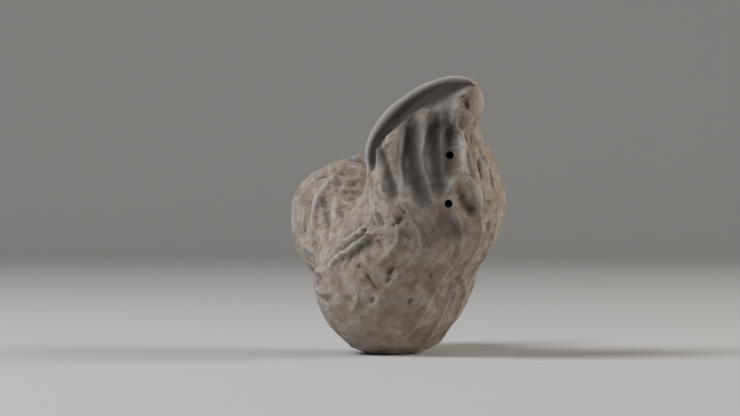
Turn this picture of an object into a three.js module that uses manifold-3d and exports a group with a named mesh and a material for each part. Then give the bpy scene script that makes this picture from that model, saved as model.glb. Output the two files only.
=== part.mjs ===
// A three-seeded peanut pod, grown in a curl, with a hooked beak at one end and the stem scar at the other.
// Millimetres, +Z up. It stands on its middle lobe, and the origin is the middle of the small flat spot there.
import * as THREE from "three";
import { mergeVertices } from "three/addons/utils/BufferGeometryUtils.js";
import Module from "manifold-3d";

const { clamp, degToRad, euclideanModulo, lerp, smoothstep } = THREE.MathUtils;

// The pod is lofted in its curl plane, its own X and Z, through cross-sections from the stem end to the beak.
// aside is how far a section's middle lies off that plane. heading is the way that the pod runs at a section, in
// degrees from X towards Z. breadth is half the section's size in the plane, and thickness half its size across it.
const SECTIONS = [
  { x: -8.0, aside: 0, z: 14.3, heading: -113, breadth: 3.3, thickness: 3.6 }, // stem end
  { x: -10.2, aside: 0, z: 10.6, heading: -100, breadth: 5.4, thickness: 5.4 },
  { x: -9.9, aside: 0, z: 7.2, heading: -74, breadth: 6.3, thickness: 5.9 }, // back lobe
  { x: -7.7, aside: 0, z: 5.1, heading: -50, breadth: 5.9, thickness: 6.4 },
  { x: -5.1, aside: 0, z: 4.2, heading: -35, breadth: 5.7, thickness: 6.2 }, // first waist
  { x: -3.2, aside: 0, z: 1.6, heading: -14, breadth: 7.2, thickness: 7.7 },
  { x: 0.2, aside: 0, z: 0.7, heading: 6, breadth: 8.4, thickness: 8.5 }, // middle lobe
  { x: 3.0, aside: 0, z: 2.8, heading: 26, breadth: 7.8, thickness: 8.1 },
  { x: 4.7, aside: 0.1, z: 5.5, heading: 46, breadth: 6.9, thickness: 7.8 }, // second waist
  { x: 7.0, aside: 0.4, z: 8.1, heading: 62, breadth: 7.2, thickness: 7.6 },
  { x: 8.5, aside: 0.2, z: 11.3, heading: 70, breadth: 7.0, thickness: 7.2 }, // front lobe
  { x: 8.5, aside: -0.1, z: 15.2, heading: 70, breadth: 5.9, thickness: 6.3 },
  { x: 9.1, aside: 0.3, z: 18.9, heading: 52, breadth: 4.1, thickness: 3.6 },
  { x: 13.2, aside: 1.3, z: 21.6, heading: 32, breadth: 2.2, thickness: 2.0 }, // beak
];
const FRONT_LOBE = 0.84; // how far along the pod the front lobe's upper half is, from 0 to 1
const STEM_ROUNDING = 0.12; // share of the pod's length in the rounded stem end
const BEAK_ROUNDING = 0.046; // and in the tip of the beak

// How the curl plane stands: turned about Z, leaning to one side, with this much height under its own origin.
const TURN = degToRad(-58.3);
const LEAN = degToRad(-2.6);
const STAND = new THREE.Vector3(-0.2, 0.4, 7.2);

// The seam where the shell's two halves meet. Its angle, in degrees, is from the inside of the curl, round towards
// the pod's near flank. It bends inwards at the second waist, and on the front lobe it is a keel like a hood's rim.
const SEAM = [
  { along: 0, angle: 60 },
  { along: 0.55, angle: 86 },
  { along: 0.84, angle: 56 },
  { along: 1, angle: 50 },
];
const SEAM_FREE = degToRad(60); // the ribs' angle on the side away from the seam, which they follow only near it

// Ribs run from end to end beside the seam. The keel on the seam is the first and the tallest.
const RIB_COUNT = 14;
const RIB_HEIGHT = 0.25;
const KEEL_HEIGHT = 0.8;
const SIDES = 4 * RIB_COUNT; // a rib is one line of corners, with three lines of corners between ribs
const RINGS = 100;

// The near flank of the front lobe is sunken beside the keel.
const HOLLOW_ANGLE = degToRad(122);
const HOLLOW_HALF_ANGLE = degToRad(62);
const HOLLOW_HALF_LENGTH = 0.12;
const HOLLOW_DEPTH = 0.9;

const SCAR_RADIUS = 0.8; // the stem scar, a low knob
const SCAR_HEIGHT = 0.6;

// Two round holes that go straight back into the front lobe.
const HOLE_RADIUS = 0.42;
const HOLE_DEPTH = 3;
const HOLES = [
  { x: 5.8, z: 16.4 },
  { x: 6.0, z: 21.5 },
];

const placeCurve = uniformCurve((s) => [s.x, s.aside, s.z]);
const shapeCurve = uniformCurve((s) => [s.heading, s.breadth, s.thickness]);

function uniformCurve(values) {
  const points = SECTIONS.map((s) => new THREE.Vector3(...values(s)));
  return new THREE.CatmullRomCurve3(points, false, "catmullrom");
}

// The same angle, but from -PI to PI.
function wrapped(angle) {
  return euclideanModulo(angle + Math.PI, 2 * Math.PI) - Math.PI;
}

// 1 at the middle, falling smoothly to 0 at a distance of half the width.
function bump(distance, halfWidth) {
  const share = clamp(Math.abs(distance) / halfWidth, 0, 1);
  return (1 - share * share) ** 2;
}

// 0 at both tips, and 1 between the rounded ends.
function rounding(along) {
  const stem = clamp(along / STEM_ROUNDING, 0, 1);
  const beak = clamp((1 - along) / BEAK_ROUNDING, 0, 1);
  return Math.sqrt(1 - (1 - stem) ** 2) * Math.sqrt(1 - (1 - beak) ** 2);
}

// The seam's angle at a place along the pod, eased from one row of the table to the next.
function seamAngle(along) {
  const start = Math.min(SEAM.findLastIndex((row) => row.along <= along), SEAM.length - 2);
  const from = SEAM[start];
  const to = SEAM[start + 1];
  return degToRad(lerp(from.angle, to.angle, smoothstep(along, from.along, to.along)));
}

// The angle from the inside of the curl of a line of the shell that lies angleFromSeam away from the seam.
function shellAngle(along, angleFromSeam) {
  const followed = (1 + Math.cos(angleFromSeam)) / 2;
  return SEAM_FREE + angleFromSeam + (seamAngle(along) - SEAM_FREE) * followed;
}

// How far the shell stands out from its smooth form, with angle measured from the seam.
function relief(along, angle) {
  const ribs = RIB_HEIGHT * Math.max(0, Math.cos(RIB_COUNT * angle));
  const hooded = smoothstep(along, 0.55, FRONT_LOBE);
  const keel = KEEL_HEIGHT * (0.35 + 0.65 * hooded) * bump(wrapped(angle), degToRad(12));
  const aroundHollow = bump(wrapped(shellAngle(along, angle) - HOLLOW_ANGLE), HOLLOW_HALF_ANGLE);
  const hollow = HOLLOW_DEPTH * aroundHollow * bump(along - FRONT_LOBE, HOLLOW_HALF_LENGTH);
  return ribs + keel - hollow;
}

function pointOnShell(along, angleFromSeam) {
  const { x: heading, y: breadth, z: thickness } = shapeCurve.getPoint(along);
  const ahead = new THREE.Vector3(Math.cos(degToRad(heading)), 0, Math.sin(degToRad(heading)));
  const inward = new THREE.Vector3(-ahead.z, 0, ahead.x); // towards the inside of the curl
  const nearFlank = new THREE.Vector3(0, -1, 0);
  const angle = shellAngle(along, angleFromSeam);
  const round = rounding(along);
  const lift = relief(along, angleFromSeam);
  const reachIn = (breadth + lift) * round;
  const reachAcross = (thickness + lift) * round;
  const scar = along < 0.5 ? SCAR_HEIGHT * bump(breadth * round, 2 * SCAR_RADIUS) : 0;
  return placeCurve
    .getPoint(along)
    .addScaledVector(inward, reachIn * Math.cos(angle))
    .addScaledVector(nearFlank, reachAcross * Math.sin(angle))
    .addScaledVector(ahead, -scar);
}

// A sphere's rings become the pod's sections, and its two poles the stem scar and the tip of the beak.
function shellGeometry() {
  const geometry = new THREE.SphereGeometry(1, SIDES, RINGS);
  const position = geometry.getAttribute("position");
  const uv = geometry.getAttribute("uv");
  const stand = new THREE.Matrix4()
    .makeRotationFromEuler(new THREE.Euler(LEAN, 0, TURN, "ZYX"))
    .setPosition(STAND);
  for (let i = 0; i < position.count; i++) {
    const along = (1 - Math.cos((1 - uv.getY(i)) * Math.PI)) / 2;
    const side = Math.round(uv.getX(i) * SIDES) % SIDES;
    const point = pointOnShell(along, (-side / SIDES) * 2 * Math.PI).applyMatrix4(stand);
    position.setXYZ(i, point.x, point.y, Math.max(point.z, 0)); // flat where it rests
  }
  return geometry;
}

function holeGeometry({ x, z }, surfaceY) {
  const outside = 5;
  const hole = new THREE.CylinderGeometry(HOLE_RADIUS, HOLE_RADIUS, HOLE_DEPTH + outside, 12);
  return hole.translate(x, surfaceY + (HOLE_DEPTH - outside) / 2, z);
}

// Where a line along Y through the hole's middle first meets the shell.
function frontOfShell(shell, { x, z }) {
  const ray = new THREE.Raycaster(new THREE.Vector3(x, -100, z), new THREE.Vector3(0, 1, 0));
  return ray.intersectObject(new THREE.Mesh(shell))[0].point.y;
}

const wasm = await Module();
wasm.setup();

function solidFrom(geometry) {
  const bare = new THREE.BufferGeometry()
    .setAttribute("position", geometry.getAttribute("position"))
    .setIndex(geometry.getIndex());
  const merged = mergeVertices(bare, 1e-4);
  const vertProperties = merged.getAttribute("position").array;
  const triVerts = new Uint32Array(merged.getIndex().array);
  return new wasm.Manifold(new wasm.Mesh({ numProp: 3, vertProperties, triVerts }));
}

function geometryFrom(solid) {
  const { vertProperties, triVerts } = solid.getMesh();
  const geometry = new THREE.BufferGeometry()
    .setAttribute("position", new THREE.BufferAttribute(vertProperties, 3))
    .setIndex(new THREE.BufferAttribute(triVerts, 1));
  geometry.computeVertexNormals();
  return geometry;
}

function podGeometry() {
  const shell = shellGeometry();
  let pod = solidFrom(shell);
  for (const hole of HOLES) {
    pod = pod.subtract(solidFrom(holeGeometry(hole, frontOfShell(shell, hole))));
  }
  return geometryFrom(pod);
}

const DRIED_SHELL = new THREE.MeshStandardMaterial({ color: 0xb3a594, roughness: 0.9, metalness: 0 });

const pod = new THREE.Mesh(podGeometry(), DRIED_SHELL);
pod.name = "peanut_pod";

const peanut = new THREE.Group();
peanut.add(pod);

export default peanut;
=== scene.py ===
import math

import bpy
import numpy as np
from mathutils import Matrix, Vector
from mathutils.bvhtree import BVHTree
from mathutils.kdtree import KDTree


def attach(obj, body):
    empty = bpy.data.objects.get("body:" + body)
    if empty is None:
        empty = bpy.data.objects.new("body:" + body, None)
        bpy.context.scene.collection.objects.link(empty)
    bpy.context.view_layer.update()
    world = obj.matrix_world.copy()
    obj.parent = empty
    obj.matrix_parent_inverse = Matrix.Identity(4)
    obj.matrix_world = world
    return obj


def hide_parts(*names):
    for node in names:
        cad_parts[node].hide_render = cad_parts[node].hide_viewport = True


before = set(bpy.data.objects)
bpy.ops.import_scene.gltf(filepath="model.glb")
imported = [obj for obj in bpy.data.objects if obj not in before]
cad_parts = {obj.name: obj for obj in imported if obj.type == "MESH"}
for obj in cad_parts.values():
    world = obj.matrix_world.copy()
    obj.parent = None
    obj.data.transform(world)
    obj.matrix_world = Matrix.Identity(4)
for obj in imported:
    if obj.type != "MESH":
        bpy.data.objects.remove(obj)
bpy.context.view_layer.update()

MM = 0.001  # the shell is worked out in millimetres, and Blender's unit is the metre

# ------------------------------------------------------------------------------------------ form of the pod

# Cross-sections from the stem end to the beak, the same as the frame's. x and z are in the curl plane, and
# aside is how far off it a section's middle lies. heading is the way the pod runs there, in degrees from x
# towards z. breadth is half the section's size in the plane, and thickness half its size across it.
SECTIONS = np.array(
    [
        # x, aside, z, heading, breadth, thickness
        (-8.0, 0.0, 14.3, -113, 3.3, 3.6),  # stem end
        (-10.2, 0.0, 10.6, -100, 5.4, 5.4),
        (-9.9, 0.0, 7.2, -74, 6.3, 5.9),  # back lobe
        (-7.7, 0.0, 5.1, -50, 5.9, 6.4),
        (-5.1, 0.0, 4.2, -35, 5.7, 6.2),  # first waist
        (-3.2, 0.0, 1.6, -14, 7.2, 7.7),
        (0.2, 0.0, 0.7, 6, 8.4, 8.5),  # middle lobe
        (3.0, 0.0, 2.8, 26, 7.8, 8.1),
        (4.7, 0.1, 5.5, 46, 6.9, 7.8),  # second waist
        (7.0, 0.4, 8.1, 62, 7.2, 7.6),
        (8.5, 0.2, 11.3, 70, 7.0, 7.2),  # front lobe
        (8.5, -0.1, 15.2, 70, 5.9, 6.3),
        (9.1, 0.3, 18.9, 52, 4.1, 3.6),
        (13.2, 1.3, 21.6, 32, 2.2, 2.0),  # beak
    ]
)
STEM_ROUNDING = 0.12  # share of the pod's length in the rounded stem end
BEAK_ROUNDING = 0.046  # and in the tip of the beak
TURN = math.radians(-58.3)  # the curl plane's turn about Z
LEAN = math.radians(-2.6)
STAND = np.array([-0.2, 0.4, 7.2])

# The seam of the shell's two halves: how far along the pod, and its angle there from the inside of the curl,
# round towards the near flank. It bends forward below the hood, and on the front lobe it is the hood's rim.
SEAM = (
    (0, 60), (0.3, 78), (0.42, 84), (0.5, 84), (0.54, 89), (0.59, 97), (0.63, 104), (0.68, 105),
    (0.714, 92), (0.74, 74), (0.77, 59), (0.81, 58), (0.87, 50), (0.9, 42), (0.93, 32), (1, 0),
)
SEAM_FREE = math.radians(60)  # the ribs' angle on the side away from the seam, which they follow only near it
CORNER_ROUNDING = 0.016  # how far to each side the corners of a table like SEAM's are rounded off

RINGS = 390
SIDES = 244


def uniform_curve(points, share):
    """The points' Catmull-Rom curve at each share of its length, with the same weight for each span."""
    last = len(points) - 1
    place = np.clip(share, 0, 1) * last
    start = np.minimum(place.astype(int), last - 1)
    t = (place - start)[:, None]
    before_first = 2 * points[0] - points[1]
    after_last = 2 * points[last] - points[last - 1]
    before = np.where((start > 0)[:, None], points[np.maximum(start - 1, 0)], before_first)
    after = np.where((start < last - 1)[:, None], points[np.minimum(start + 2, last)], after_last)
    p, q = points[start], points[start + 1]
    slope_p, slope_q = (q - before) / 2, (after - p) / 2
    cubed = 2 * p - 2 * q + slope_p + slope_q
    squared = 3 * q - 3 * p - 2 * slope_p - slope_q
    return cubed * t**3 + squared * t**2 + slope_p * t + p


def rounded_lines(table, share):
    """The table's values joined by straight lines, with the corners rounded off."""
    keys, values = np.array(table, float).T
    steps = np.linspace(-CORNER_ROUNDING, CORNER_ROUNDING, 9)
    return np.mean([np.interp(share + step, keys, values) for step in steps], axis=0)


def bump(distance, half_width):
    """1 at the middle, falling smoothly to 0 at half_width."""
    share = np.clip(np.abs(distance) / half_width, 0, 1)
    return (1 - share**2) ** 2


def smoothstep(value, low, high):
    """0 up to low, rising smoothly to 1 at high."""
    share = np.clip((value - low) / (high - low), 0, 1)
    return share * share * (3 - 2 * share)


def wrapped(angle):
    """The same angle, but from -pi to pi."""
    return (angle + math.pi) % math.tau - math.pi


def rounding(along):
    """0 at both tips, and 1 between the rounded ends."""
    stem = np.clip(along / STEM_ROUNDING, 0, 1)
    beak = np.clip((1 - along) / BEAK_ROUNDING, 0, 1)
    return np.sqrt(1 - (1 - stem) ** 2) * np.sqrt(1 - (1 - beak) ** 2)


def shell_angle(along, from_seam):
    """Angles from the inside of the curl: a row for each ring, a column for each angle from the seam."""
    seam = np.radians(rounded_lines(SEAM, along))[:, None]
    followed = (1 + np.cos(from_seam)) / 2
    return SEAM_FREE + from_seam + (seam - SEAM_FREE) * followed


def loft(along, from_seam):
    """Points of the smooth shell in the frame, in mm, in the same rows and columns."""
    section = uniform_curve(SECTIONS, along)
    heading = np.radians(section[:, 3])[:, None]
    angle = shell_angle(along, from_seam)
    cap = rounding(along)[:, None]
    reach_in = section[:, 4, None] * cap * np.cos(angle)
    reach_near = section[:, 5, None] * cap * np.sin(angle)
    x = section[:, 0, None] - np.sin(heading) * reach_in
    y = section[:, 1, None] - reach_near
    z = section[:, 2, None] + np.cos(heading) * reach_in
    y, z = y * math.cos(LEAN) - z * math.sin(LEAN), y * math.sin(LEAN) + z * math.cos(LEAN)
    x, y = x * math.cos(TURN) - y * math.sin(TURN), x * math.sin(TURN) + y * math.cos(TURN)
    return np.stack([x, y, z], -1) + STAND


def travelled(steps):
    """The distance covered at the start, and after each of the steps."""
    return np.concatenate([[0], np.cumsum(steps)])


def even_rings(count):
    """Shares of the length at which rings lie evenly spaced, where they are furthest apart."""
    fine = (1 - np.cos(np.linspace(0, math.pi, 3000))) / 2
    points = loft(fine, np.linspace(0, math.tau, 24, endpoint=False))
    distance = travelled(np.linalg.norm(np.diff(points, axis=0), axis=2).max(1))
    return np.interp(np.linspace(0, distance[-1], count), distance, fine)


# The shell is a grid: a ring at each of these places along the pod, with a point at each angle from the seam.
ALONG = even_rings(RINGS + 1)
FROM_SEAM = wrapped(np.linspace(0, math.tau, SIDES, endpoint=False))
MIDDLE_LINE = loft(ALONG, np.array([0.0, math.pi])).mean(1)
ALONG_MM = travelled(np.linalg.norm(np.diff(MIDDLE_LINE, axis=0), axis=1))
RADIUS_MM = uniform_curve(SECTIONS, ALONG)[:, 4:6].mean(1) * rounding(ALONG)  # mean radius of each ring
ACROSS_MM = FROM_SEAM * np.maximum(RADIUS_MM, 1.0)[:, None]  # distance from the seam, round the pod


def grid_normals(points):
    """Outward unit normals of a grid of points that closes on itself around each ring."""
    around = np.roll(points, -1, axis=1) - np.roll(points, 1, axis=1)
    forward = np.gradient(points, axis=0)
    normal = np.cross(around, forward)
    normal[0], normal[-1] = normal[1].mean(0), normal[-2].mean(0)
    normal /= np.linalg.norm(normal, axis=2, keepdims=True) + 1e-12
    return normal


def grid_faces():
    """Quads between rings, and triangles at the two poles. The poles are vertex 0 and the last one."""

    def corner(ring, side):
        return 1 + (ring - 1) * SIDES + side % SIDES

    last = corner(RINGS, 0)
    faces = [(0, corner(1, s + 1), corner(1, s)) for s in range(SIDES)]
    for r in range(1, RINGS - 1):
        faces += [
            (corner(r, s), corner(r, s + 1), corner(r + 1, s + 1), corner(r + 1, s))
            for s in range(SIDES)
        ]
    return faces + [(last, corner(RINGS - 1, s), corner(RINGS - 1, s + 1)) for s in range(SIDES)]


def flat_list(grid):
    """A grid's values in vertex order, with each pole's ring as one vertex."""
    return np.concatenate([grid[:1, 0], grid[1:-1].reshape(-1, *grid.shape[2:]), grid[-1:, 0]])


def as_grid(values):
    """One value for each vertex, back as a grid."""
    return np.vstack([np.full(SIDES, values[0]), values[1:-1].reshape(-1, SIDES), np.full(SIDES, values[-1])])


def blurred(grid, steps):
    """A grid's values smoothed over about that many rings and sides."""
    for _ in range(steps):
        grid = (np.roll(grid, 1, 1) + 2 * grid + np.roll(grid, -1, 1)) / 4
        padded = np.concatenate([grid[:1], grid, grid[-1:]])
        grid = (padded[:-2] + 2 * grid + padded[2:]) / 4
    return grid


# ------------------------------------------------------------------------------- keel, hood, hollow and scar

# The keel on the seam: how far along the pod, and its height there. It is tallest where it is the hood's rim.
KEEL_HEIGHTS = ((0, 0.1), (0.69, 0.1), (0.76, 0.5), (0.8, 1.15), (0.87, 1.05), (0.94, 0.3), (1, 0.1))
KEEL_BACK = 1.6  # width of the keel's slope on the inside of the curl
KEEL_FRONT = 0.26  # and of its steep front
LOW_KEEL = 0.4  # a keel lower than this has a wider front, by half of the difference

# The skin falls back under the hood's rim, over this many degrees from the keel at each place along the pod.
HOOD_SPANS = (
    (0.72, 4), (0.79, 7), (0.815, 8), (0.843, 16), (0.87, 25), (0.895, 38), (0.92, 53), (0.94, 68),
    (0.958, 86), (0.985, 84), (1, 60),
)
HOOD_START = (0.74, 0.80)  # the stretch of the pod in which the hood comes up
HOOD_DEPTH = 0.85
HOOD_DEEP_SPAN = 34  # degrees: where the hood spans less, it is shallower too

# The sunken near flank of the front lobe: its middle, its half-sizes and its depth.
HOLLOW_AT = 0.84
HOLLOW_ANGLE = math.radians(122)
HOLLOW_HALF_ANGLE = math.radians(62)
HOLLOW_HALF_LENGTH = 0.12
HOLLOW_DEPTH = 1.3

SCAR_RADIUS = 0.65  # the stem scar, a low knob
SCAR_HEIGHT = 0.4
SCAR_FILLET = 0.25  # share of its height in the fillet round its foot


def hood_shape():
    """How much each point lies under the hood's rim, and how much in the hollow below it, from 0 to 1."""
    span = np.radians(rounded_lines(HOOD_SPANS, ALONG))[:, None]
    beyond = smoothstep(FROM_SEAM, 0.5 * span, 1.3 * span + 0.05)  # where the skin comes back out
    past_crest = smoothstep(ACROSS_MM, -0.05, 0.14)
    under_rim = smoothstep(ALONG, *HOOD_START)[:, None] * past_crest * (1 - beyond)
    from_middle = wrapped(shell_angle(ALONG, FROM_SEAM) - HOLLOW_ANGLE)
    hollow = bump(from_middle, HOLLOW_HALF_ANGLE) * bump(ALONG - HOLLOW_AT, HOLLOW_HALF_LENGTH)[:, None]
    return under_rim, hollow


def seam_relief():
    """Keel, hood, hollow and stem scar, as mm that the shell stands out from its smooth form."""
    height = rounded_lines(KEEL_HEIGHTS, ALONG)[:, None]
    front = KEEL_FRONT + 0.5 * np.maximum(LOW_KEEL - height, 0)
    keel = height * np.exp(-((ACROSS_MM / np.where(ACROSS_MM < 0, KEEL_BACK, front)) ** 2))
    radius = RADIUS_MM[:, None]
    span = rounded_lines(HOOD_SPANS, ALONG)[:, None]
    full = 0.2 + 0.8 * smoothstep(span, 0, HOOD_DEEP_SPAN)
    depth = HOOD_DEPTH * full * smoothstep(radius, 0.3, 2.0)
    under_rim, hollow = hood_shape()
    knob = np.sqrt(np.clip(1 - (radius / SCAR_RADIUS) ** 2, 0, 1))
    scar = (knob + SCAR_FILLET * bump(radius, 2 * SCAR_RADIUS)) * (ALONG < 0.5)[:, None]
    return keel - depth * under_rim - HOLLOW_DEPTH * hollow + SCAR_HEIGHT * scar


# ----------------------------------------------------------------------- ridges, pits, stains and painted shade laid on the shell

# A stroke is a ridge or a groove laid over the shell: points that it passes through, as (x, z) in mm
# where they are seen from the front, then its half-width and its height in mm. A groove or a pit has a
# negative height.
HOOD_RIDGES = (
    # the arch over the hollows, then the ridges between and beside them
    (
        ((-1.3, 23.4), (-0.4, 24.4), (0.8, 25.2), (1.9, 26.0), (3.2, 26.5), (4.4, 26.6), (5.6, 26.5)),
        0.26, 0.20,
    ),
    (((2.3, 26.2), (1.7, 25.3), (1.4, 24.3), (1.2, 22.9), (1.0, 21.4), (1.1, 19.9), (1.3, 18.5)), 0.22, 0.28),
    (((3.9, 26.2), (3.8, 24.8), (3.5, 23.3), (3.3, 21.8), (3.5, 20.4), (3.9, 19.1), (4.4, 17.6)), 0.15, 0.26),
    (((-2.1, 21.9), (-1.3, 22.3), (-0.6, 22.9), (0.2, 23.4)), 0.24, 0.20),
    (((0.2, 23.4), (0.6, 22.4), (0.7, 21.4)), 0.14, 0.14),
    (((-2.2, 20.4), (-1.8, 18.9), (-1.0, 17.8), (-0.2, 16.9)), 0.35, 0.25),
    (((6.7, 26.3), (6.9, 25.2), (7.3, 24.2), (7.5, 23.2), (7.7, 22.0), (7.8, 20.8), (8.1, 19.5)), 0.30, 0.50),
    (((8.1, 19.5), (8.8, 18.6), (9.3, 17.6), (9.5, 16.4)), 0.30, 0.34),
    (((7.1, 19.2), (6.4, 18.4), (6.0, 17.6)), 0.26, 0.22),
    (((1.2, 16.9), (2.1, 16.4), (3.1, 15.9), (4.0, 15.0)), 0.36, 0.26),
    (((9.2, 22.4), (9.1, 20.9), (9.3, 19.6)), 0.22, 0.12),
    (((10.3, 21.6), (10.4, 20.0), (10.6, 18.4)), 0.20, 0.12),
)
HOOD_HOLLOWS = (
    (((-1.2, 22.2), (-0.7, 19.9), (0.2, 17.8)), 0.75, -0.55),
    (((2.4, 25.4), (2.4, 23.4), (2.5, 20.8), (2.9, 18.8), (3.5, 17.0)), 0.95, -0.46),
    (((4.8, 25.4), (5.0, 23.4), (5.0, 21.2), (5.2, 18.6)), 1.20, -0.50),
    (((6.0, 24.8), (6.3, 23.7), (6.4, 22.6)), 0.80, -0.30),
    (((1.9, 25.4), (1.4, 24.9)), 0.30, -0.30),
    (((-0.8, 23.2), (-0.4, 22.6)), 0.28, -0.25),
    (((8.1, 27.6), (8.4, 26.7)), 0.36, -0.45),
    (((7.8, 28.3), (7.9, 28.1)), 0.24, -0.25),
    (((7.2, 29.6), (8.4, 29.8), (9.2, 29.4)), 0.18, -0.22),
    (((7.4, 17.4), (8.2, 16.3), (9.0, 15.6)), 0.75, -0.44),
    (((9.5, 21.3), (9.6, 20.2), (9.8, 19.2)), 0.20, -0.42),
    (((10.6, 20.3), (10.9, 19.2), (11.1, 18.3)), 0.17, -0.30),
    (((8.0, 24.2), (8.1, 23.2)), 0.12, -0.16),
    (((8.6, 24.0), (8.7, 22.9)), 0.12, -0.14),
    (((10.5, 16.9), (10.7, 16.2)), 0.45, -0.24),
    (((10.6, 14.4), (10.6, 13.2)), 0.45, -0.26),
)
SEAM_FOLDS = (
    # the outer and the inner lip, then the gap between them and the folds beside them
    (((-2.3, 13.6), (-3.1, 12.7), (-3.9, 12.0), (-4.9, 11.3), (-5.9, 10.6), (-6.6, 9.8)), 0.20, 0.42),
    (
        ((-2.2, 15.6), (-2.4, 14.8), (-2.8, 14.0), (-3.6, 13.3), (-4.3, 12.8), (-5.2, 12.3), (-6.3, 11.4)),
        0.22, 0.24,
    ),
    (((-2.5, 14.0), (-3.2, 13.1), (-4.1, 12.4), (-5.0, 11.8), (-5.9, 11.1)), 0.12, -0.34),
    (((-2.7, 15.2), (-3.1, 14.3), (-4.0, 13.6), (-5.0, 13.0), (-6.0, 12.2)), 0.10, -0.14),
    (((-2.2, 12.4), (-3.3, 11.6), (-4.4, 10.8), (-5.5, 9.8)), 0.75, -0.38),
    (((-3.0, 16.2), (-3.9, 15.0), (-5.0, 13.9)), 0.16, -0.08),
    (((-3.5, 15.9), (-4.4, 14.8)), 0.14, -0.07),
    (((-4.8, 14.4), (-5.7, 13.2), (-6.6, 12.2)), 0.18, -0.09),
    (((-6.4, 12.6), (-6.8, 11.4), (-6.9, 10.4)), 0.20, 0.12),
    (((-2.2, 16.3), (-2.0, 15.4), (-1.9, 14.6), (-1.8, 14.0)), 0.09, -0.26),
    (((-1.5, 15.5), (-1.2, 14.8), (-0.9, 14.1)), 0.10, -0.24),
    (((-3.0, 16.6), (-2.9, 16.3)), 0.12, -0.22),
)
MIDDLE_RIDGES = (
    (((-2.4, 17.2), (-2.2, 16.2), (-1.7, 15.0), (-1.3, 13.6), (-0.9, 12.4)), 0.26, 0.20),
    (((-0.9, 12.4), (-0.5, 11.2), (0.0, 10.0), (0.3, 8.6)), 0.36, 0.12),
    (((-8.4, 8.4), (-8.0, 9.0), (-7.3, 9.4)), 0.50, 0.24),
    (((-8.2, 7.2), (-7.7, 6.7), (-7.0, 6.6), (-6.5, 7.0)), 0.42, 0.34),
    (((-6.8, 10.0), (-6.6, 9.0), (-6.5, 8.0), (-6.4, 7.1)), 0.30, 0.24),
    (((-4.2, 7.6), (-3.8, 6.6), (-3.9, 5.4), (-4.4, 4.6)), 0.24, 0.20),
    (((-5.6, 6.0), (-4.9, 4.6), (-3.7, 3.3)), 0.14, 0.14),
    (((-5.0, 5.6), (-4.2, 4.2), (-3.2, 3.1)), 0.12, 0.10),
    (((-4.4, 5.2), (-3.4, 3.9), (-2.6, 2.9)), 0.14, 0.12),
    (((-1.6, 6.4), (-1.5, 4.6), (-1.6, 3.2)), 0.30, 0.14),
    (((7.6, 8.6), (8.0, 7.0), (7.6, 5.2)), 0.20, 0.14),
    (((6.6, 8.0), (6.9, 6.4), (6.3, 4.6)), 0.20, 0.12),
)
MIDDLE_PITS = (
    (((-2.8, 8.8), (-2.5, 8.2), (-2.1, 7.6), (-1.6, 6.9)), 0.12, -0.34),  # slit
    (((0.1, 9.5), (0.0, 9.0), (-0.4, 8.7)), 0.30, -0.42),
    (((-0.4, 8.3), (-0.5, 7.7)), 0.30, -0.18),
    (((-3.6, 9.7), (-3.7, 9.3)), 0.20, -0.34),
    (((-4.2, 10.2), (-4.0, 10.0)), 0.14, -0.20),
    (((1.7, 5.5), (2.3, 6.0)), 0.46, -0.30),
    (((4.1, 8.5), (4.5, 8.6)), 0.40, -0.20),
    (((5.2, 7.0), (5.5, 7.2)), 0.40, -0.12),
    (((3.4, 4.0), (3.9, 4.4)), 0.40, -0.16),
    (((0.1, 14.0), (0.6, 14.3), (1.1, 14.8)), 0.24, -0.36),
    (((1.2, 15.6), (1.6, 15.2)), 0.30, -0.25),
    (((1.6, 13.0), (2.1, 12.4)), 0.14, -0.20),
    (((-4.9, 6.4), (-4.6, 5.6)), 0.60, -0.22),
    (((-2.2, 6.1), (-2.0, 5.5)), 0.40, -0.16),
    (((-7.9, 8.5), (-7.7, 8.2)), 0.20, -0.26),
    (((-8.1, 7.6), (-7.9, 7.3)), 0.18, -0.20),
    (((-1.6, 12.4), (-1.1, 11.4)), 0.36, -0.20),
    (((-2.8, 10.8), (-2.4, 10.0)), 0.30, -0.16),
)
BACK_RIDGES = (
    (((-6.9, 20.9), (-6.4, 19.0), (-6.3, 17.0), (-6.2, 15.0), (-6.6, 12.9)), 0.34, 0.26),
    (((-5.9, 20.4), (-4.8, 20.3), (-3.8, 20.4)), 0.26, 0.13),
    (((-5.9, 19.1), (-4.8, 19.0), (-3.7, 19.1)), 0.26, 0.13),
    (((-5.8, 17.9), (-4.8, 17.8), (-3.7, 17.9)), 0.26, 0.12),
    (((-8.6, 19.8), (-8.3, 18.0), (-8.4, 16.0), (-8.6, 14.2)), 0.30, 0.16),
    (((-7.9, 15.9), (-7.2, 15.7), (-6.6, 15.9)), 0.20, 0.14),
)
BACK_HOLLOWS = (
    (((-7.4, 17.4), (-7.5, 16.0)), 0.50, -0.34),
    (((-7.3, 14.9), (-7.0, 13.8)), 0.50, -0.26),
    (((-9.6, 14.4), (-9.6, 13.2)), 0.46, -0.28),
    (((-8.2, 19.0), (-7.3, 19.3), (-6.9, 19.4)), 0.16, -0.16),
    (((-5.9, 19.7), (-4.8, 19.6), (-3.8, 19.7)), 0.26, -0.12),
    (((-5.8, 18.5), (-4.8, 18.4), (-3.8, 18.5)), 0.26, -0.12),
    (((-5.2, 17.2), (-4.4, 16.8)), 0.40, -0.14),
    (((-5.5, 15.6), (-5.3, 14.8)), 0.34, -0.14),
)
STROKES = (
    HOOD_RIDGES + HOOD_HOLLOWS + SEAM_FOLDS + MIDDLE_RIDGES + MIDDLE_PITS + BACK_RIDGES + BACK_HOLLOWS
)
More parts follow.
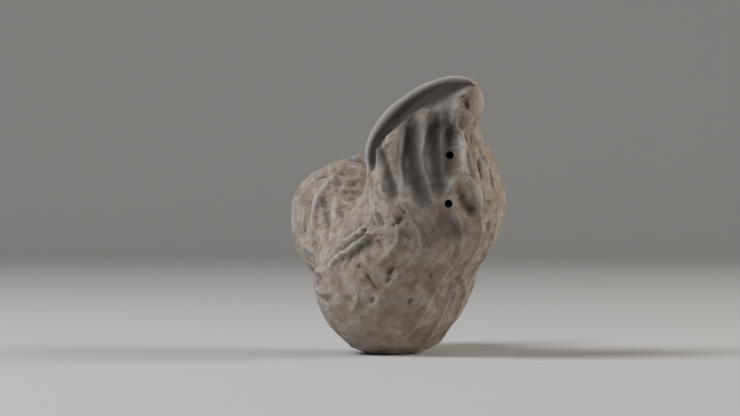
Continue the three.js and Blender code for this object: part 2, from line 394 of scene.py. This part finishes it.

# Stains and painted shade, mostly over hollows, pits and grooves, lie on the skin in the same way: points,
# half-width in mm and strength from 0 to 1.
STAINS_AND_SHADE = (
    (((1.9, 26.8), (2.0, 23.8), (2.4, 20.8), (3.0, 18.4), (4.1, 15.2)), 1.45, 0.95),
    (((4.4, 27.2), (4.7, 23.8), (4.9, 21.0), (5.3, 16.6)), 1.40, 0.95),
    (((6.0, 27.4), (6.1, 23.8), (6.1, 21.4), (6.0, 18.6)), 1.15, 0.95),
    (((0.4, 16.4), (2.4, 15.4), (4.4, 14.6)), 1.70, 0.42),
    (((6.0, 24.8), (6.3, 23.7), (6.3, 22.6)), 0.80, 0.90),
    (((-1.4, 23.0), (-0.7, 19.9), (0.4, 16.6)), 0.95, 0.85),
    (((8.3, 25.0), (8.4, 21.8), (8.7, 18.4)), 0.90, 0.30),
    (((7.1, 18.2), (8.1, 16.6), (9.2, 15.2)), 0.90, 0.72),
    (((4.4, 14.6), (6.4, 13.8), (8.2, 13.0)), 2.00, 0.60),
    (((7.4, 9.0), (6.8, 6.4), (5.6, 3.8)), 2.00, 0.32),
    (((-0.6, 13.4), (2.4, 13.0), (5.4, 12.4)), 1.70, 0.46),
    (((3.0, 13.0), (3.4, 11.0), (3.0, 8.6)), 1.60, 0.22),
    (((4.2, 17.2), (5.6, 17.8), (7.2, 17.4)), 1.20, 0.35),
    (((0.4, 14.4), (1.4, 15.2)), 0.55, 0.60),
    (((8.0, 28.2), (8.4, 27.0)), 0.40, 0.60),
    (((7.2, 29.5), (9.0, 29.4)), 0.30, 0.45),
    (((-0.1, 9.2), (-0.4, 8.0)), 0.42, 0.60),
    (((1.7, 5.6), (2.4, 6.1)), 0.60, 0.50),
    (((4.0, 8.4), (4.6, 8.7)), 0.60, 0.40),
    (((3.4, 4.2), (4.0, 4.6)), 0.50, 0.35),
    (((10.5, 16.9), (10.7, 16.2)), 0.50, 0.40),
    (((10.6, 14.4), (10.6, 13.2)), 0.50, 0.45),
    (((-2.4, 12.2), (-3.6, 11.2), (-5.0, 10.2)), 0.70, 0.35),
    (((-7.3, 17.3), (-7.4, 16.2), (-7.2, 14.8), (-7.0, 13.8)), 0.45, 0.45),
    (((-9.6, 14.4), (-9.6, 13.2)), 0.45, 0.50),
)
HOOD_STAIN_AND_SHADE = 1.1  # strength of the stain and painted shade all along under the hood's rim
HOLLOW_STAIN_AND_SHADE = 0.72  # and of the stain and painted shade in the hollow

# Where the wrinkles are deeper, in the same way: along the seam, on the facet over it, and on the knob at the
# seam's end.
CRINKLED = (
    (((-1.9, 15.8), (-2.6, 13.6), (-4.0, 12.4), (-5.4, 11.4), (-6.8, 9.8)), 1.20, 1.30),
    (((-3.0, 16.4), (-4.4, 14.6), (-6.2, 12.4)), 1.50, 0.45),
    (((-8.2, 8.8), (-8.0, 7.6), (-7.4, 6.4)), 0.90, 0.60),
)

FRONT_EYE = np.array([-2.4, -259.2, 15.95])  # where the pod is seen from in front, in mm
STROKE_STEP = 0.15  # mm between the points that a stroke is laid through


def coarse_tree(points):
    """A tree for casting rays at a grid of points, with every third ring and side."""
    coarse = points[::3, ::3]
    count, width = coarse.shape[:2]

    def corner(ring, side):
        return ring * width + side % width

    quads = [
        (corner(r, s), corner(r + 1, s), corner(r + 1, s + 1), corner(r, s + 1))
        for r in range(count - 1)
        for s in range(width)
    ]
    return BVHTree.FromPolygons([tuple(p) for p in coarse.reshape(-1, 3)], quads)


def seen_from_front(tree, points):
    """Places on the shell of a stroke's points, joined by a smooth curve."""
    path = np.array(points, float)
    length = np.linalg.norm(np.diff(path, axis=0), axis=1).sum()
    path = uniform_curve(path, np.linspace(0, 1, max(int(length / STROKE_STEP), 2)))
    eye = Vector(FRONT_EYE)
    hits = [tree.ray_cast(eye, (Vector((x, 0, z)) - eye).normalized())[0] for x, z in path]
    places = np.array([hit for hit in hits if hit is not None])
    for _ in range(6):  # evens out the steps in depth where the skin is steep
        places[1:-1] = (places[:-2] + 2 * places[1:-1] + places[2:]) / 4
    return np.array([tree.find_nearest(Vector(place))[0] for place in places])


def stroke_weight(points, tree, path, half_width):
    """The points of the shell near a stroke, and how much it covers each of them, from 0 to 1."""
    places = seen_from_front(tree, path)
    reach = 3 * half_width
    near = np.flatnonzero(((points > places.min(0) - reach) & (points < places.max(0) + reach)).all(1))
    local = points[near]
    best = np.full(len(near), np.inf)
    share = np.zeros(len(near))
    ends = len(places) - 1
    for i in range(ends):
        step = places[i + 1] - places[i]
        t = np.clip((local - places[i]) @ step / (step @ step + 1e-12), 0, 1)
        distance = np.linalg.norm(local - places[i] - t[:, None] * step, axis=1)
        closer = distance < best
        best = np.where(closer, distance, best)
        share = np.where(closer, (i + t) / ends, share)
    taper = smoothstep(np.minimum(share, 1 - share), -0.12, 0.16)  # fades towards both ends
    return near, taper * np.exp(-((best / half_width) ** 2))


def laid_on(points, tree, strokes):
    """Relief in mm, or stain and painted shade, of all the strokes. Where two meet, the stronger one counts.
    """
    raised, sunken = np.zeros(len(points)), np.zeros(len(points))
    for path, half_width, height in strokes:
        near, weight = stroke_weight(points, tree, path, half_width)
        raised[near] = np.maximum(raised[near], height * weight)
        sunken[near] = np.minimum(sunken[near], height * weight)
    return raised + sunken


# --------------------------------------------------------------------------------------------- node helpers


def linear(code):
    """An sRGB hex colour as linear RGBA."""
    parts = [int(code[i : i + 2], 16) / 255 for i in (1, 3, 5)]
    return [c / 12.92 if c <= 0.04045 else ((c + 0.055) / 1.055) ** 2.4 for c in parts] + [1.0]


def add(tree, kind, inputs=(), **settings):
    """Adds a node with its settings. Its inputs are a list of the first ones, or a dict by name or number.
    Each is a value, the socket that feeds it, or a node whose first output does."""
    node = tree.nodes.new(kind)
    for name, value in settings.items():
        setattr(node, name, value)
    for key, value in inputs.items() if isinstance(inputs, dict) else enumerate(inputs):
        source = value.outputs[0] if isinstance(value, bpy.types.Node) else value
        if isinstance(source, bpy.types.NodeSocket):
            tree.links.new(source, node.inputs[key])
        else:
            node.inputs[key].default_value = source
    return node


# ----------------------------------------------------------------------------- net of ribs, as Geometry Nodes

NET_SIZES = {
    # name: (kind, value), with lumps and wrinkles measured from their lowest to their highest
    "Rib count": ("Int", 14),
    "Rib height": ("Float", 0.24 * MM),
    "Rib half-width": ("Float", 0.42 * MM),
    "Cell length": ("Float", 3.1 * MM),
    "Cross rib height": ("Float", 0.14 * MM),
    "Cross rib half-width": ("Float", 0.34 * MM),
    "Wander": ("Float", 0.9 * MM),
    "Lump height": ("Float", 0.52 * MM),
    "Lump size": ("Float", 2.6 * MM),
    "Wrinkle height": ("Float", 0.19 * MM),
    "Wrinkle size": ("Float", 0.55 * MM),
    "Seed": ("Int", 7),
}
NARROWEST_COLUMN = 0.6 * MM  # ribs wander as if they were never closer than this, near the tips
DEEPER_WRINKLES = 5.0  # how much deeper the wrinkles are where the skin is crinkled
MATH = "ShaderNodeMath"


def net_tree(material):
    """Ribs from end to end, cross ribs that close them into cells, lumps and wrinkles, over the shell."""
    tree = bpy.data.node_groups.new("shell_net", "GeometryNodeTree")
    tree.interface.new_socket("Geometry", in_out="INPUT", socket_type="NodeSocketGeometry")
    for name, (kind, value) in NET_SIZES.items():
        socket = tree.interface.new_socket(name, in_out="INPUT", socket_type=f"NodeSocket{kind}")
        socket.default_value = value
    skin = tree.interface.new_socket("Shell", in_out="INPUT", socket_type="NodeSocketMaterial")
    skin.default_value = material
    tree.interface.new_socket("Geometry", in_out="OUTPUT", socket_type="NodeSocketGeometry")
    size = add(tree, "NodeGroupInput").outputs
    turns, along, radius, share, crinkle = (
        add(tree, "GeometryNodeInputNamedAttribute", {"Name": name}, data_type="FLOAT").outputs["Attribute"]
        for name in ("turns", "along_m", "radius_m", "net_share", "crinkle")
    )

    # Three noises, each from -0.5 to 0.5, for the ribs' wander, the lumps and the wrinkles.
    wander_size = add(tree, MATH, (size["Lump size"], 1.6), operation="MULTIPLY")
    noises = {}
    for name, blob_size, detail, roughness in (
        ("wander", wander_size, 2.0, 0.55),
        ("lumps", size["Lump size"], 3.0, 0.55),
        ("wrinkles", size["Wrinkle size"], 4.0, 0.6),
    ):
        seed = add(tree, MATH, (size["Seed"], len(noises) + 1), operation="ADD")
        per_metre = add(tree, MATH, (1.0, blob_size), operation="DIVIDE")
        inputs = {"W": seed, "Scale": per_metre, "Detail": detail, "Roughness": roughness}
        noise = add(tree, "ShaderNodeTexNoise", inputs, noise_dimensions="4D")
        noises[name] = add(tree, MATH, (noise, 0.5), operation="SUBTRACT")

    def hump(distance, half_width, height):
        """The height on the line, falling away to nothing at about twice the half-width."""
        out = add(tree, MATH, (distance, half_width), operation="DIVIDE")
        squared = add(tree, MATH, (out, 2.0), operation="POWER")
        negative = add(tree, MATH, (squared, -1.0), operation="MULTIPLY")
        falling = add(tree, MATH, (negative,), operation="EXPONENT")
        return add(tree, MATH, (falling, height), operation="MULTIPLY")

    # A rib runs along each edge between two columns of cells, and the edges wander.
    wander = add(tree, MATH, (noises["wander"], size["Wander"]), operation="MULTIPLY")
    girth = add(tree, MATH, (radius, math.tau), operation="MULTIPLY")
    column_width = add(tree, MATH, (girth, size["Rib count"]), operation="DIVIDE")
    wide_enough = add(tree, MATH, (column_width, NARROWEST_COLUMN), operation="MAXIMUM")
    sideways = add(tree, MATH, (wander, wide_enough), operation="DIVIDE")
    column = add(tree, MATH, (turns, size["Rib count"], sideways), operation="MULTIPLY_ADD")
    whole = add(tree, MATH, (column,), operation="FLOOR")
    part = add(tree, MATH, (column, whole), operation="SUBTRACT")
    rest = add(tree, MATH, (1.0, part), operation="SUBTRACT")
    nearer = add(tree, MATH, (part, rest), operation="MINIMUM")
    to_rib = add(tree, MATH, (nearer, column_width), operation="MULTIPLY")
    ribs = hump(to_rib, size["Rib half-width"], size["Rib height"])

    # Cross ribs close each column into cells, with a length and a start of its own for each column.
    same_column = add(tree, MATH, (whole, size["Rib count"]), operation="FLOORED_MODULO")
    column_seed = add(tree, MATH, (size["Seed"], 0.37, same_column), operation="MULTIPLY_ADD")
    start = add(tree, "ShaderNodeTexWhiteNoise", {"W": column_seed}, noise_dimensions="1D").outputs["Value"]
    stretch = add(tree, MATH, (start, 0.6, 0.7), operation="MULTIPLY_ADD")
    cell = add(tree, MATH, (size["Cell length"], stretch), operation="MULTIPLY")
    bent = add(tree, MATH, (wander, 1.6, along), operation="MULTIPLY_ADD")
    cells = add(tree, MATH, (bent, cell), operation="DIVIDE")
    row = add(tree, MATH, (start, 9.0, cells), operation="MULTIPLY_ADD")
    nearest_row = add(tree, MATH, (row,), operation="ROUND")
    off = add(tree, MATH, (row, nearest_row), operation="SUBTRACT")
    distance_off = add(tree, MATH, (off,), operation="ABSOLUTE")
    to_cross = add(tree, MATH, (distance_off, cell), operation="MULTIPLY")
    cross = hump(to_cross, size["Cross rib half-width"], size["Cross rib height"])

    higher = add(tree, MATH, (ribs, cross), operation="MAXIMUM")
    net = add(tree, MATH, (higher, share), operation="MULTIPLY")
    with_lumps = add(tree, MATH, (noises["lumps"], size["Lump height"], net), operation="MULTIPLY_ADD")
    wrinkles = add(tree, MATH, (noises["wrinkles"], size["Wrinkle height"]), operation="MULTIPLY")
    deeper = add(tree, MATH, (crinkle, DEEPER_WRINKLES, 1.0), operation="MULTIPLY_ADD")
    lift = add(tree, MATH, (wrinkles, deeper, with_lumps), operation="MULTIPLY_ADD")
    normal = add(tree, "GeometryNodeInputNormal")
    offset = add(tree, "ShaderNodeVectorMath", {"Vector": normal, "Scale": lift}, operation="SCALE")
    moved = add(tree, "GeometryNodeSetPosition", {"Geometry": size["Geometry"], "Offset": offset})
    real = add(tree, "GeometryNodeRealizeInstances", {"Geometry": moved})
    dressed = add(tree, "GeometryNodeSetMaterial", {"Geometry": real, "Material": size["Shell"]})
    add(tree, "NodeGroupOutput", (dressed,))
    return tree


def apply_tree(obj, tree):
    """Runs a Geometry Nodes tree on an object and keeps the result as its plain mesh."""
    modifier = obj.modifiers.new(tree.name, "NODES")
    modifier.node_group = tree
    for item in tree.interface.items_tree:
        if item.in_out == "INPUT" and item.name in NET_SIZES:
            modifier[item.identifier] = NET_SIZES[item.name][1]
    evaluated = obj.evaluated_get(bpy.context.evaluated_depsgraph_get())
    mesh = bpy.data.meshes.new_from_object(evaluated)
    obj.modifiers.remove(modifier)
    obj.data = mesh


# -------------------------------------------------------------------------------------------------- material

HULL_PATTERNS = {
    # name: (what it follows, size in mm, detail, roughness)
    "fibres": ("grain", 0.35, 4.0, 0.6),
    "streaks": ("grain", 1.1, 3.0, 0.55),
    "mottle": ("place", 1.7, 4.0, 0.55),
    "specks": ("place", 0.7, 3.0, 0.55),
    "fine fibres": ("grain", 0.22, 3.0, 0.55),
    "paper": ("place", 0.3, 4.0, 0.6),
}
HULL_BASE = "#8F8073"
HULL_LAYERS = (
    # colour, what lays it on, and the value of that where there is none of it and where it covers
    ("#B0A69C", "mottle", 0.36, 0.62),  # pale straw
    ("#A0948A", "streaks", 0.40, 0.76),  # dull streaks along the fibres
    ("#B6AFA8", "fibres", 0.54, 0.88),  # pale fibres
    ("#6F635A", "height", -0.06, -0.50),  # brown in the pits
    ("#867A70", "specks", 0.42, 0.27),  # brown specks
    ("#C6C1BC", "height", 0.10, 0.60),  # rubbed pale on the ribs
    ("#847970", "crease", -0.1, -1.8),  # dust and painted shade in the fine creases
    ("#B8B2AB", "crease", 0.3, 4.0),  # painted highlight along fine edges
    ("#3F3731", "stain_and_shade", 0.0, 1.15),  # dark stain and painted shade under the hood's rim, in the hollows, pits and grooves, and on the holes' walls
)


def dried_hull_material():
    """Dried peanut hull: a matte, papery, fibrous shell, lighter on its ribs and browner in its pits."""
    material = bpy.data.materials.new("dried_peanut_hull")
    material.use_nodes = True
    tree = material.node_tree
    tree.nodes.clear()
    attributes = {
        name: add(tree, "ShaderNodeAttribute", attribute_name=name, attribute_type="GEOMETRY").outputs
        for name in ("height", "crease", "stain_and_shade", "grain")
    }
    place = add(tree, "ShaderNodeTexCoord").outputs["Object"]
    follows = {"place": place, "grain": attributes["grain"]["Vector"]}
    shown = {name: attributes[name]["Fac"] for name in ("height", "crease", "stain_and_shade")}
    for name, (vector, size_mm, detail, roughness) in HULL_PATTERNS.items():
        scale = 1 / (size_mm * MM)
        inputs = {"Vector": follows[vector], "Scale": scale, "Detail": detail, "Roughness": roughness}
        shown[name] = add(tree, "ShaderNodeTexNoise", inputs)

    colour = linear(HULL_BASE)
    for code, pattern, none, full in HULL_LAYERS:
        limits = {"Value": shown[pattern], "From Min": none, "From Max": full}
        cover = add(tree, "ShaderNodeMapRange", limits, interpolation_type="SMOOTHSTEP")
        # inputs 6 and 7 are the mixed colours, and output 2 is their mix
        mixed = add(tree, "ShaderNodeMix", {0: cover, 6: colour, 7: linear(code)}, data_type="RGBA")
        colour = mixed.outputs[2]

    fibre_relief = {"Height": shown["fine fibres"], "Strength": 0.35, "Distance": 0.05 * MM}
    fibre_bump = add(tree, "ShaderNodeBump", fibre_relief)
    paper_relief = {"Height": shown["paper"], "Strength": 0.8, "Distance": 0.12 * MM, "Normal": fibre_bump}
    paper_bump = add(tree, "ShaderNodeBump", paper_relief)
    finish = {"Base Color": colour, "Normal": paper_bump}
    finish |= {"Roughness": 0.88, "IOR": 1.45, "Specular IOR Level": 0.25}
    shader = add(tree, "ShaderNodeBsdfPrincipled", finish)
    add(tree, "ShaderNodeOutputMaterial", (shader,))
    return material


# ----------------------------------------------------------------------------------------------------- shell

# The middle of the near flank, where the middle lobe's ribs are faint.
CALM_AT = 0.5
CALM_HALF_LENGTH = 0.2
CALM_ANGLE = math.radians(110)
CALM_HALF_ANGLE = math.radians(90)

PIN_HOLES = ((5.8, 16.4), (6.0, 21.5))  # x and z of the two round holes that run straight back
HOLE_RADIUS = 0.42
HOLE_DEPTH = 3.0
HOLE_SIDES = 32
CUTTER_OUT = 2.0  # how far outside the shell the cutter of a hole starts
WALL_FROM = 0.12  # a vertex further than this from the uncut shell is on the wall of a hole
HOLE_LOOKS = {"height": -1.0, "crease": 0.0, "stain_and_shade": 0.8}  # painted shade on the holes' walls: the pits' brown and the dark stain colour

HEIGHT_BLUR = 60  # rings and sides over which a rib or a pit is told from the lobe that it lies on
CREASE_BLUR = 8  # and a fine crease from its rib or pit
CREASE_DEPTH = 0.07  # how deep a fine crease is before its dust and painted shade show, and how high a fine edge is for its painted highlight
GRAIN_RADIUS = 8.0  # the fibres are spread round a pod of this radius
GRAIN_STRETCH = 7.0  # and are this many times longer than they are wide


def new_mesh_object(name, vertices_mm, faces):
    mesh = bpy.data.meshes.new(name)
    mesh.from_pydata((np.asarray(vertices_mm) * MM).tolist(), [], faces)
    mesh.update()
    obj = bpy.data.objects.new(name, mesh)
    bpy.context.scene.collection.objects.link(obj)
    return obj


def set_attribute(mesh, name, values):
    """Gives each vertex its value, a number or a vector."""
    kind, field = ("FLOAT", "value") if values.ndim == 1 else ("FLOAT_VECTOR", "vector")
    data = mesh.attributes.new(name, kind, "POINT").data
    data.foreach_set(field, values.astype(np.float32).ravel())


def vertices_mm(mesh):
    co = np.empty(len(mesh.vertices) * 3, np.float32)
    mesh.vertices.foreach_get("co", co)
    return co.reshape(-1, 3).astype(float) / MM


def smooth_shaded(mesh):
    mesh.polygons.foreach_set("use_smooth", np.ones(len(mesh.polygons), bool))


def net_share(under_rim, hollow):
    """How much of the net shows, from 0 to 1. It fades at the tips, hood, hollow, rim and calm flank."""
    ends = smoothstep(RADIUS_MM, 0.8, 3.6)[:, None]
    from_calm = wrapped(shell_angle(ALONG, FROM_SEAM) - CALM_ANGLE)
    calm = bump(ALONG - CALM_AT, CALM_HALF_LENGTH)[:, None] * bump(from_calm, CALM_HALF_ANGLE)
    rim = bump(FROM_SEAM * RADIUS_MM[:, None], KEEL_BACK) * smoothstep(ALONG, 0.45, 0.55)[:, None]
    return ends * (1 - 0.8 * np.maximum(hollow, under_rim)) * (1 - 0.9 * calm) * (1 - rim)


def relief_looks(points, smooth_form):
    """How far each vertex stands out from its lobe, and from its rib or pit, for the colours."""
    outward = flat_list(grid_normals(smooth_form))
    height = as_grid(((points - flat_list(smooth_form)) * outward).sum(1))
    crease = (height - blurred(height, CREASE_BLUR)) / CREASE_DEPTH
    return flat_list(height - blurred(height, HEIGHT_BLUR)), flat_list(crease)


def grain_space():
    """Each vertex's place in the space that the fibres' patterns are drawn in, in metres."""
    x, y = GRAIN_RADIUS * np.cos(FROM_SEAM), GRAIN_RADIUS * np.sin(FROM_SEAM)
    return flat_list(np.stack(np.broadcast_arrays(x, y, ALONG_MM[:, None] / GRAIN_STRETCH), -1)) * MM


def peanut_shell(material):
    """The whole shell as one mesh: form, strokes, net, flat resting spot and holes, in that order."""
    smooth_form = loft(ALONG, FROM_SEAM)
    formed = smooth_form + grid_normals(smooth_form) * seam_relief()[..., None]
    points, normals = flat_list(formed), flat_list(grid_normals(formed))
    tree = coarse_tree(formed)
    relief = laid_on(points, tree, STROKES)
    under_rim, hollow = hood_shape()
    # stain and painted shade, all along under the hood's rim, in the hollow and along the stain strokes
    shaded = flat_list(np.maximum(HOOD_STAIN_AND_SHADE * under_rim, HOLLOW_STAIN_AND_SHADE * hollow))
    stain_and_shade = np.maximum(laid_on(points, tree, STAINS_AND_SHADE), shaded)

    shell = new_mesh_object("peanut_shell", points + normals * relief[:, None], grid_faces())
    net_inputs = {
        "turns": (FROM_SEAM / math.tau) % 1.0,
        "along_m": ALONG_MM[:, None] * MM,
        "radius_m": RADIUS_MM[:, None] * MM,
        "net_share": net_share(under_rim, hollow),
    }
    for name, grid in net_inputs.items():
        set_attribute(shell.data, name, flat_list(np.broadcast_to(grid, (RINGS + 1, SIDES))))
    set_attribute(shell.data, "crinkle", laid_on(points, tree, CRINKLED))
    apply_tree(shell, net_tree(material))

    final = vertices_mm(shell.data)
    height, crease = relief_looks(final, smooth_form)
    final[:, 2] = np.maximum(final[:, 2], 0)  # flat where it rests
    shell.data.vertices.foreach_set("co", (final * MM).astype(np.float32).ravel())
    shell.data.update()
    for x, z in PIN_HOLES:
        drill(shell, x, z)
    looks = {"height": height, "crease": crease, "stain_and_shade": stain_and_shade, "grain": grain_space()}
    carry_looks(shell.data, final, looks)
    smooth_shaded(shell.data)
    return shell


def drill(shell, x, z):
    """Cuts a round hole straight back into the shell, from where a line along Y first meets it."""
    tree = BVHTree.FromObject(shell, bpy.context.evaluated_depsgraph_get())
    surface = tree.ray_cast(Vector((x * MM, -0.1, z * MM)), Vector((0, 1, 0)))[0].y / MM
    around = np.linspace(0, math.tau, HOLE_SIDES, endpoint=False)
    corners = [
        (x + HOLE_RADIUS * math.cos(angle), y, z + HOLE_RADIUS * math.sin(angle))
        for y in (surface - CUTTER_OUT, surface + HOLE_DEPTH)
        for angle in around
    ]
    following = [(i, (i + 1) % HOLE_SIDES) for i in range(HOLE_SIDES)]
    sides = [(i, HOLE_SIDES + i, HOLE_SIDES + j, j) for i, j in following]
    ends = [tuple(range(HOLE_SIDES)), tuple(range(HOLE_SIDES, 2 * HOLE_SIDES))[::-1]]
    cutter = new_mesh_object("cutter", corners, sides + ends)
    modifier = shell.modifiers.new("drill", "BOOLEAN")
    modifier.operation = "DIFFERENCE"
    modifier.object = cutter
    modifier.solver = "EXACT"
    evaluated = shell.evaluated_get(bpy.context.evaluated_depsgraph_get())
    mesh = bpy.data.meshes.new_from_object(evaluated)
    shell.modifiers.remove(modifier)
    shell.data = mesh
    bpy.data.objects.remove(cutter)


def carry_looks(mesh, points, looks):
    """Gives each vertex the looks of the nearest point of the uncut shell, and the holes' walls their own
    painted shade.
    """
    tree = KDTree(len(points))
    for i, point in enumerate(points):
        tree.insert(point, i)
    tree.balance()
    found = [tree.find(point) for point in vertices_mm(mesh)]
    nearest = np.array([index for _, index, _ in found])
    in_hole = np.array([distance for _, _, distance in found]) > WALL_FROM
    for name, values in looks.items():
        carried = values[nearest]
        if name in HOLE_LOOKS:
            carried = np.where(in_hole, HOLE_LOOKS[name], carried)
        set_attribute(mesh, name, carried)


hull = dried_hull_material()
shell = peanut_shell(hull)
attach(shell, "root")
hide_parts("peanut_pod")

# ---------------------------------------------------------------------------------------------------- studio

# The floor and wall, in mm: the flat middle's radius, the bend's radius, and the wall's height.
FLOOR_RADIUS = 500
FLOOR_BEND = 250
WALL_HEIGHT = 900
FLOOR_SIDES = 64
AIM = Vector((0, 0, 15))  # the middle of the pod, in mm, which the lights point at


def studio_floor():
    """A pale round floor that curves up into a wall all round, well outside the camera's path."""
    outline = [(20, 0)]
    for angle in np.linspace(0, math.pi / 2, 12):
        outline.append((FLOOR_RADIUS + FLOOR_BEND * math.sin(angle), FLOOR_BEND * (1 - math.cos(angle))))
    outline.append((FLOOR_RADIUS + FLOOR_BEND, WALL_HEIGHT))
    vertices = [(0, 0, 0)] + [
        (radius * math.cos(angle), radius * math.sin(angle), height)
        for radius, height in outline
        for angle in np.linspace(0, math.tau, FLOOR_SIDES, endpoint=False)
    ]

    def corner(ring, side):
        return 1 + ring * FLOOR_SIDES + side % FLOOR_SIDES

    faces = [(0, corner(0, s), corner(0, s + 1)) for s in range(FLOOR_SIDES)]
    faces += [
        (corner(r, s), corner(r + 1, s), corner(r + 1, s + 1), corner(r, s + 1))
        for r in range(len(outline) - 1)
        for s in range(FLOOR_SIDES)
    ]
    floor = new_mesh_object("studio_floor", vertices, faces)
    smooth_shaded(floor.data)
    paper = bpy.data.materials.new("pale_backdrop_paper")
    paper.use_nodes = True
    shader = paper.node_tree.nodes["Principled BSDF"]
    shader.inputs["Base Color"].default_value = linear("#C3C2BF")
    shader.inputs["Roughness"].default_value = 0.95
    floor.data.materials.append(paper)


def area_light(name, place_mm, size_mm, watts, colour):
    """A soft square light that points at the pod."""
    lamp = bpy.data.lights.new(name, "AREA")
    lamp.energy = watts
    lamp.size = size_mm * MM
    lamp.color = linear(colour)[:3]
    light = bpy.data.objects.new(name, lamp)
    light.visible_camera = False
    light.location = Vector(place_mm) * MM
    light.rotation_euler = (AIM * MM - light.location).to_track_quat("-Z", "Y").to_euler()
    bpy.context.scene.collection.objects.link(light)


def room():
    """Even, faintly warm light from all round."""
    world = bpy.data.worlds.new("room")
    world.use_nodes = True
    background = world.node_tree.nodes["Background"]
    background.inputs["Color"].default_value = linear("#F4F0EB")
    background.inputs["Strength"].default_value = 0.23
    bpy.context.scene.world = world
    bpy.context.scene.view_settings.view_transform = "Standard"


def front_camera():
    """A long lens, level with the pod and straight in front of it."""
    camera = bpy.data.objects.new("camera", bpy.data.cameras.new("camera"))
    camera.data.sensor_width = 36
    camera.data.lens = 115
    camera.location = Vector(FRONT_EYE) * MM
    camera.rotation_euler = (math.pi / 2, 0, 0)
    camera.data.clip_start = 0.01
    camera.data.clip_end = 10
    bpy.context.scene.collection.objects.link(camera)
    bpy.context.scene.camera = camera


studio_floor()
area_light("window_left", (-340, -110, 340), 200, 1.95, "#F3F7FF")
area_light("window_right", (420, 20, 190), 220, 1.2, "#FFF6EE")
room()
front_camera()
